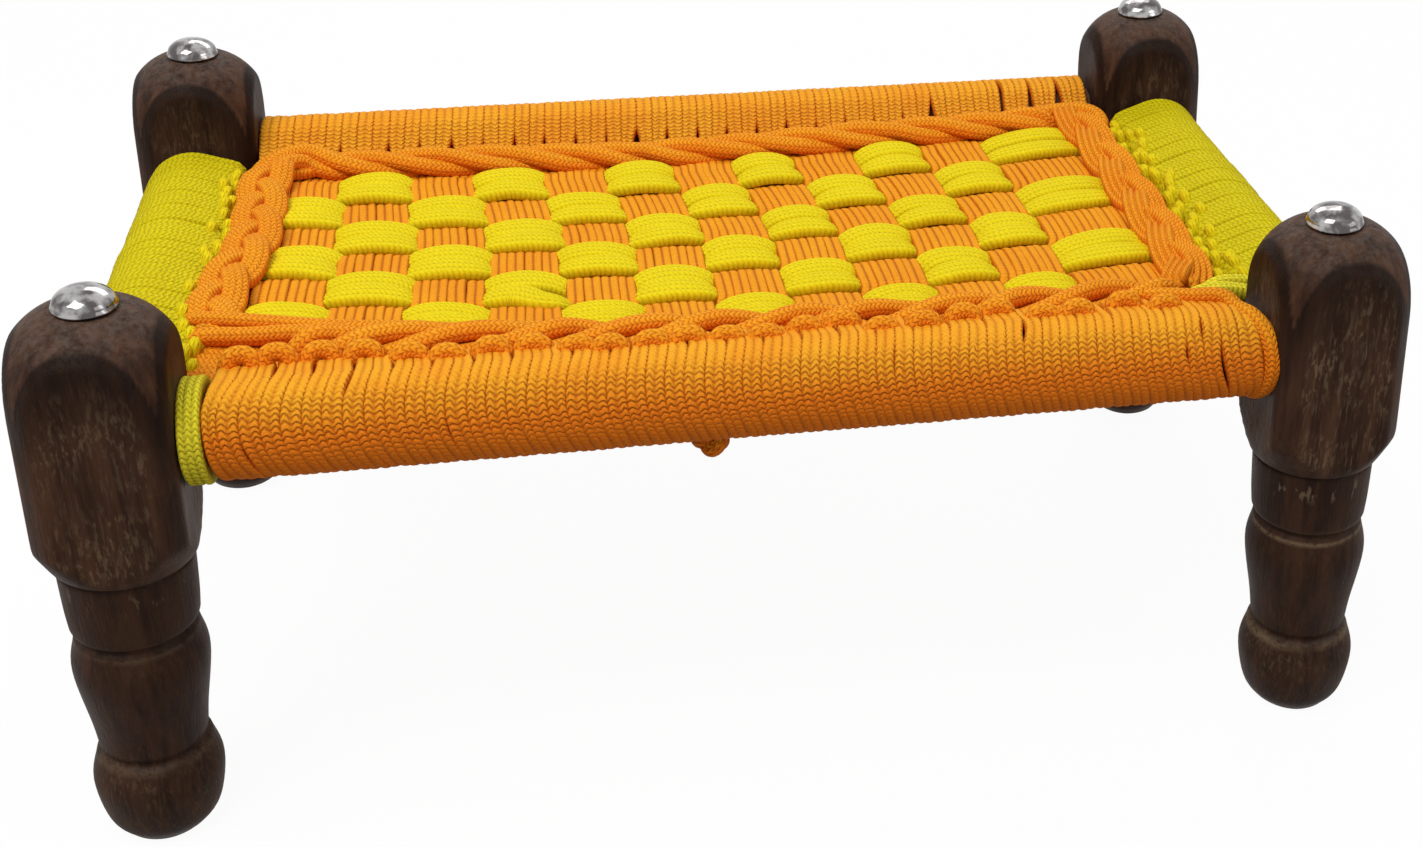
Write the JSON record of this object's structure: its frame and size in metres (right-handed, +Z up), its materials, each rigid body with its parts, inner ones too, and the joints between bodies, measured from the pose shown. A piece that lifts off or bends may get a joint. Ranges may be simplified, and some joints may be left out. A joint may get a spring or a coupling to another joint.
{
  "type": "charpai",
  "caption": "Small charpai: turned wooden legs with domed nails, cord-wound rails and a seat net of orange and yellow knitted cord.",
  "frame": {"origin": "on the floor, under the middle of the frame", "axes": "+X along the length to the right end, +Y from the front long side to the back one, +Z up"},
  "size_m": [0.303, 0.179, 0.1369],
  "materials": {
    "stained_wood": "dark stain, satin",
    "bare_wood": "bare",
    "nail": "polished",
    "orange_cord": "knitted, matt",
    "yellow_cord": "knitted, matt"
  },
  "bodies": {
    "root": {"leg_front_left": "stained_wood", "nail_front_left": "nail", "leg_front_right": "stained_wood", "nail_front_right": "nail", "leg_back_left": "stained_wood", "nail_back_left": "nail", "leg_back_right": "stained_wood", "nail_back_right": "nail", "rail_front": "bare_wood", "rail_back": "bare_wood", "rail_left": "bare_wood", "rail_right": "bare_wood", "winding_front": "orange_cord", "winding_back": "orange_cord", "winding_accent": "yellow_cord", "winding_left": "yellow_cord", "winding_right": "yellow_cord", "band_1": "orange_cord", "band_2": "orange_cord", "band_3": "orange_cord", "band_4": "orange_cord", "band_5": "orange_cord", "band_6": "orange_cord", "band_7": "orange_cord", "band_8": "orange_cord", "band_9": "orange_cord", "band_10": "orange_cord", "band_11": "orange_cord", "band_12": "orange_cord", "row_1": "yellow_cord", "row_2": "yellow_cord", "row_3": "yellow_cord", "row_4": "yellow_cord", "row_5": "yellow_cord", "row_6": "yellow_cord", "border_front": "orange_cord", "border_back": "orange_cord", "border_left": "orange_cord", "border_right": "orange_cord", "cord_knot": "orange_cord"}
  },
  "joints": []
}
